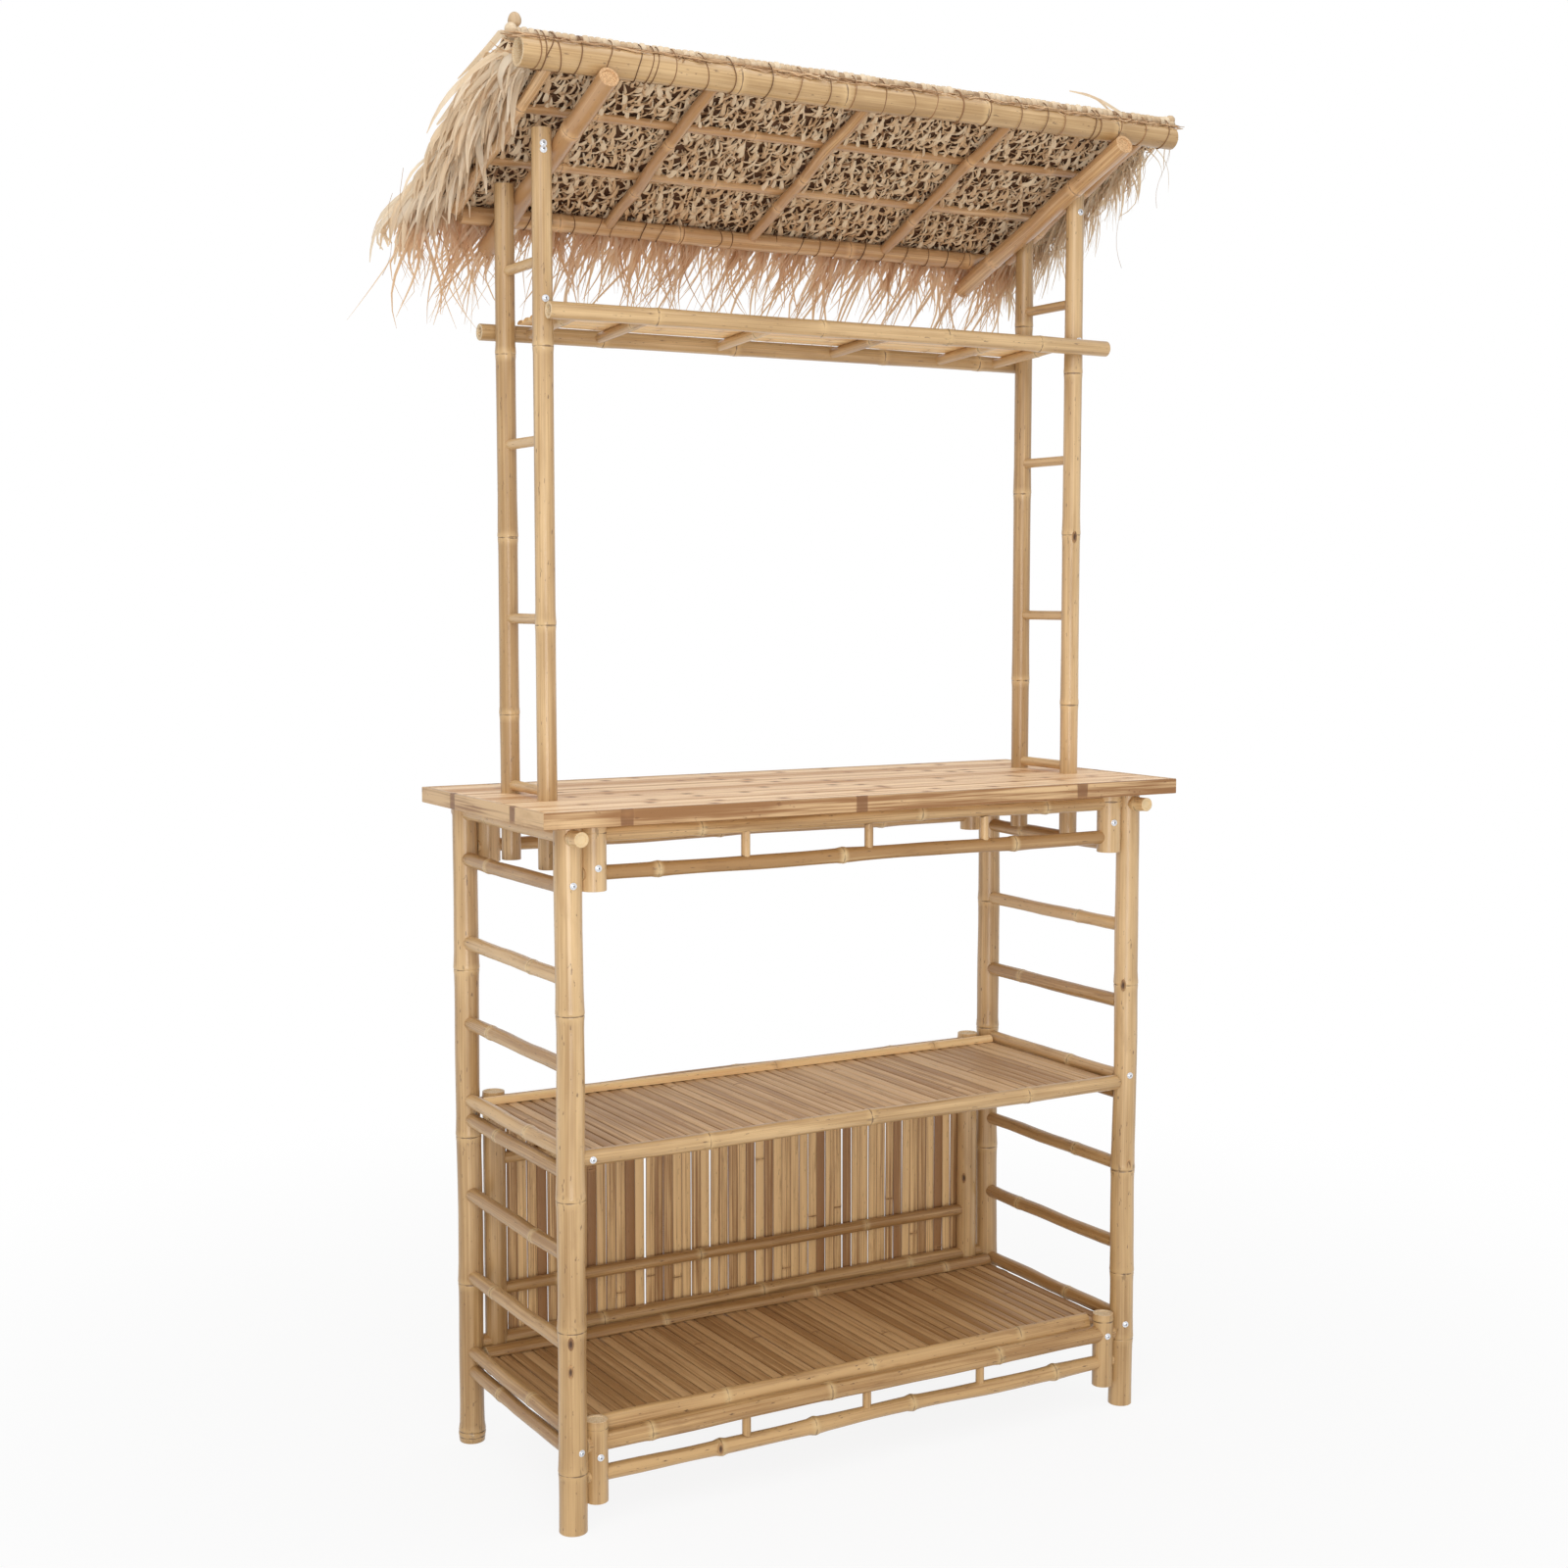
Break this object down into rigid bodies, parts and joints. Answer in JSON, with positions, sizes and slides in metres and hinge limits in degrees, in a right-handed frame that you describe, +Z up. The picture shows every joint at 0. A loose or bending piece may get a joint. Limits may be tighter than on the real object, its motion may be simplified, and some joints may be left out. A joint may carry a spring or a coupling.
{
  "type": "tiki bar hut",
  "caption": "Garden bar hut of bamboo poles with a waist-high counter, slatted shelves, a slatted back panel, an upper shelf and a lean-to roof of thatch.",
  "frame": {"origin": "on the ground, under the middle of the whole hut's outline", "axes": "+X along the counter to the right as seen from the serving side, +Y from the serving side to the back, +Z up"},
  "size_m": [1.3952, 0.4916, 2.1131],
  "materials": {
    "culm": "pale bamboo pole with a satin skin, fine fibres along it and darker bands at its nodes",
    "rung": "thin bamboo pole, tan with a dull sheen",
    "counter": "flattened bamboo strips, honey coloured with red-brown node marks",
    "shelf_slat": "split bamboo slats, grey-tan, with fine fibres",
    "panel_slat": "split bamboo slats that vary from pale tan to brown",
    "thatch_mat": "braided dry palm leaf, rough and pale straw coloured",
    "thatch_leaf": "dry hanging palm leaf, straw to pinkish brown",
    "lashing": "thin dark brown cord"
  },
  "bodies": {
    "root": {"leg_front_left": "culm", "upright_front_left": "culm", "leg_rear_left": "culm", "upright_rear_left": "culm", "bearer_left": "rung", "rung_left_1": "rung", "rung_left_2": "rung", "rung_left_3": "rung", "rung_left_4": "rung", "rung_left_5": "rung", "shelf_mid_end_pole_left": "rung", "shelf_mid_support_left": "rung", "shelf_bottom_end_pole_left": "rung", "shelf_bottom_support_left": "rung", "apron_post_left": "culm", "foot_post_left": "culm", "roof_main_rafter_left": "culm", "thatch_fringe_left": "thatch_leaf", "leg_front_right": "culm", "upright_front_right": "culm", "leg_rear_right": "culm", "upright_rear_right": "culm", "bearer_right": "rung", "rung_right_1": "rung", "rung_right_2": "rung", "rung_right_3": "rung", "rung_right_4": "rung", "rung_right_5": "rung", "shelf_mid_end_pole_right": "rung", "shelf_mid_support_right": "rung", "shelf_bottom_end_pole_right": "rung", "shelf_bottom_support_right": "rung", "apron_post_right": "culm", "foot_post_right": "culm", "roof_main_rafter_right": "culm", "thatch_fringe_right": "thatch_leaf", "counter_deck": "counter", "counter_front_lath": "counter", "counter_rear_lath": "counter", "apron_rails": "rung", "rear_apron": "rung", "foot_rails": "rung", "shelf_mid_front_rail": "culm", "shelf_mid_slats": "shelf_slat", "shelf_bottom_slats": "shelf_slat", "back_panel": "panel_slat", "upper_shelf_front_pole": "culm", "upper_shelf_rear_pole": "culm", "upper_shelf_deck": "shelf_slat", "roof_top_pole": "culm", "roof_lower_pole": "culm", "roof_thin_rafter_1": "rung", "roof_thin_rafter_2": "rung", "roof_thin_rafter_3": "rung", "roof_thin_rafter_4": "rung", "roof_thin_rafter_5": "rung", "thatch_mat": "thatch_mat", "thatch_fringe_rear": "thatch_leaf", "lashing_top": "lashing", "lashing_lower": "lashing"}
  },
  "joints": []
}
